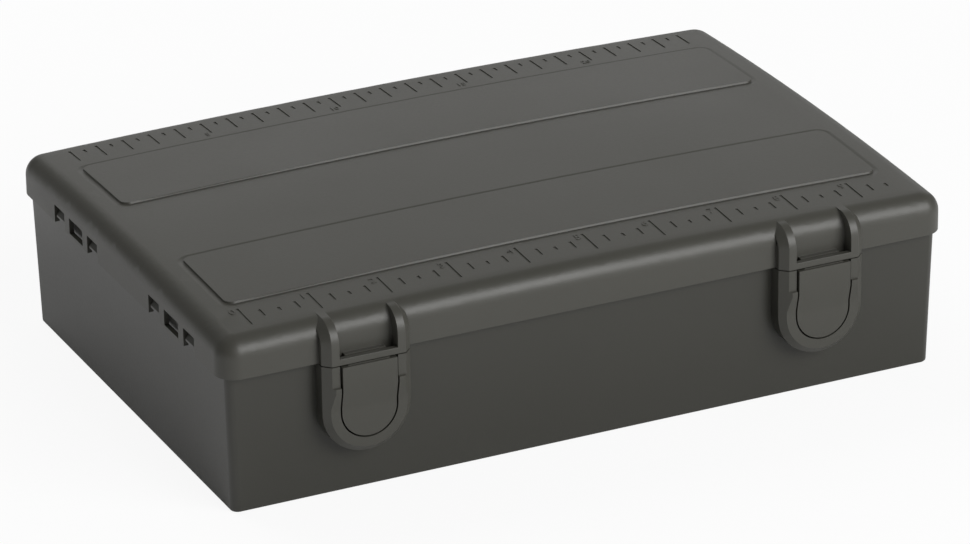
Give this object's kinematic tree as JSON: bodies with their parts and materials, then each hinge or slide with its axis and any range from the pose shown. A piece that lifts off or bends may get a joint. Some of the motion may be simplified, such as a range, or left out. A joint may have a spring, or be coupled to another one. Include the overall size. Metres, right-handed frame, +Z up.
{
  "type": "tackle box",
  "caption": "Shallow moulded fishing tackle box: a ribbed tray with removable dividers under a crowned, rear-hinged lid with rulers, held by front rocker latches.",
  "frame": {"origin": "under the middle of the box, on the surface that it stands on", "axes": "+X along the length to the right as seen from the latches, -Y towards the latches, +Z up"},
  "size_m": [0.2712, 0.1936, 0.0683],
  "materials": {
    "lid_plastic": "fine moulded texture, dark olive grey",
    "tray_plastic": "fine moulded texture, dark olive grey",
    "divider_plastic": "smooth moulded plastic",
    "hinge_steel": "drawn wire"
  },
  "bodies": {
    "tray": {"tray": "tray_plastic", "hinge_pin_left": "hinge_steel", "hinge_pin_right": "hinge_steel", "front_divider_1": "divider_plastic", "front_divider_2": "divider_plastic", "front_divider_3": "divider_plastic", "front_divider_4": "divider_plastic", "front_divider_5": "divider_plastic", "middle_divider_1": "divider_plastic", "middle_divider_2": "divider_plastic", "middle_divider_3": "divider_plastic", "middle_divider_4": "divider_plastic", "rear_divider_1": "divider_plastic", "rear_divider_2": "divider_plastic", "rear_divider_3": "divider_plastic", "rear_divider_4": "divider_plastic", "rear_divider_5": "divider_plastic"},
    "lid": {"lid": "lid_plastic"},
    "latch_button_left": {"latch_button_left": "tray_plastic"},
    "latch_button_right": {"latch_button_right": "tray_plastic"}
  },
  "joints": [
    {"name": "lid_hinge", "type": "hinge", "parent": "tray", "child": "lid", "pos_m": [0, 0.09427, 0.0501], "axis": [-1, 0, 0], "range_deg": [0, 110]},
    {"name": "latch_left", "type": "hinge", "parent": "tray", "child": "latch_button_left", "pos_m": [-0.0852, -0.09417, 0.04], "axis": [1, 0, 0], "range_deg": [0, 8], "stiffness_Nm_per_rad": 0.4},
    {"name": "latch_right", "type": "hinge", "parent": "tray", "child": "latch_button_right", "pos_m": [0.0852, -0.09417, 0.04], "axis": [1, 0, 0], "range_deg": [0, 8], "stiffness_Nm_per_rad": 0.4}
  ]
}
